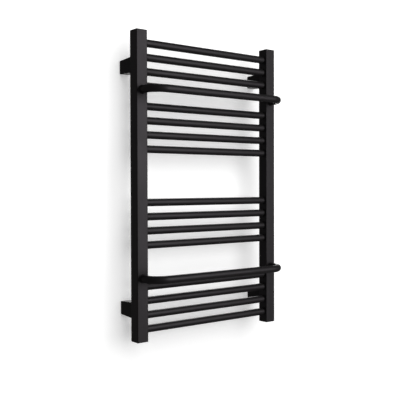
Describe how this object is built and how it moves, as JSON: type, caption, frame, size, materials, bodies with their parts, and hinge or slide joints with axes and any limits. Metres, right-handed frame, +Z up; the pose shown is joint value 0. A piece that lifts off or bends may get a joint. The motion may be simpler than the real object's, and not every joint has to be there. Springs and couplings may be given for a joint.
{
  "type": "towel warmer rack",
  "caption": "Wall-hung ladder towel warmer with square uprights, grouped round cross bars, bent towel rails in front and tapered brackets that set the wall distance.",
  "frame": {"origin": "centre of the four wall screws, on the wall plane", "axes": "+Y points into the wall, +Z up, +X to the right seen from the room, so the room is towards -Y"},
  "size_m": [0.515, 0.164, 0.86],
  "materials": {
    "powder_coat": "satin black powder coat with a fine even texture",
    "housing_plastic": "matt black moulded nylon",
    "spigot_alloy": "turned aluminium",
    "plain_steel": "bare turned steel, threads left unpainted",
    "nickel_plate": "nickel plated brass",
    "zinc_plate": "zinc plated steel",
    "black_steel": "black oxide steel",
    "seal_rubber": "smooth black rubber"
  },
  "bodies": {
    "wall_spigots": {"upper_left_wall_spigot": "spigot_alloy", "upper_right_wall_spigot": "spigot_alloy", "lower_left_wall_spigot": "spigot_alloy", "lower_right_wall_spigot": "spigot_alloy"},
    "rack": {"left_upright": "powder_coat", "right_upright": "powder_coat", "cross_bar_01": "powder_coat", "cross_bar_02": "powder_coat", "cross_bar_03": "powder_coat", "cross_bar_04": "powder_coat", "cross_bar_05": "powder_coat", "cross_bar_06": "powder_coat", "cross_bar_07": "powder_coat", "cross_bar_08": "powder_coat", "cross_bar_09": "powder_coat", "cross_bar_10": "powder_coat", "cross_bar_11": "powder_coat", "cross_bar_12": "powder_coat", "cross_bar_13": "powder_coat", "cross_bar_14": "powder_coat", "cross_bar_15": "powder_coat", "cross_bar_16": "powder_coat", "upper_towel_rail": "powder_coat", "lower_towel_rail": "powder_coat", "left_top_plate": "powder_coat", "left_bottom_plate": "powder_coat", "right_top_plate": "powder_coat", "right_bottom_plate": "powder_coat", "left_pipe_socket": "plain_steel", "left_rear_socket": "plain_steel", "right_pipe_socket": "plain_steel", "right_rear_socket": "plain_steel", "weld_studs": "plain_steel", "air_vent_body": "nickel_plate", "blanking_plug": "nickel_plate", "air_vent_seal": "seal_rubber", "blanking_plug_seal": "seal_rubber", "upper_left_bracket_housing": "housing_plastic", "upper_right_bracket_housing": "housing_plastic", "lower_left_bracket_housing": "housing_plastic", "lower_right_bracket_housing": "housing_plastic", "housing_washers": "zinc_plate", "housing_nuts": "zinc_plate", "grub_screws": "black_steel"},
    "bleed_spindle": {"bleed_spindle": "nickel_plate"}
  },
  "joints": [
    {"name": "wall_distance", "type": "slide", "parent": "wall_spigots", "child": "rack", "axis": [0, -1, 0], "range_m": [0, 0.015]},
    {"name": "bleed_turn", "type": "hinge", "parent": "rack", "child": "bleed_spindle", "pos_m": [-0.24, -0.06, 0.414], "axis": [0, 1, 0], "range_deg": [0, 360]}
  ]
}
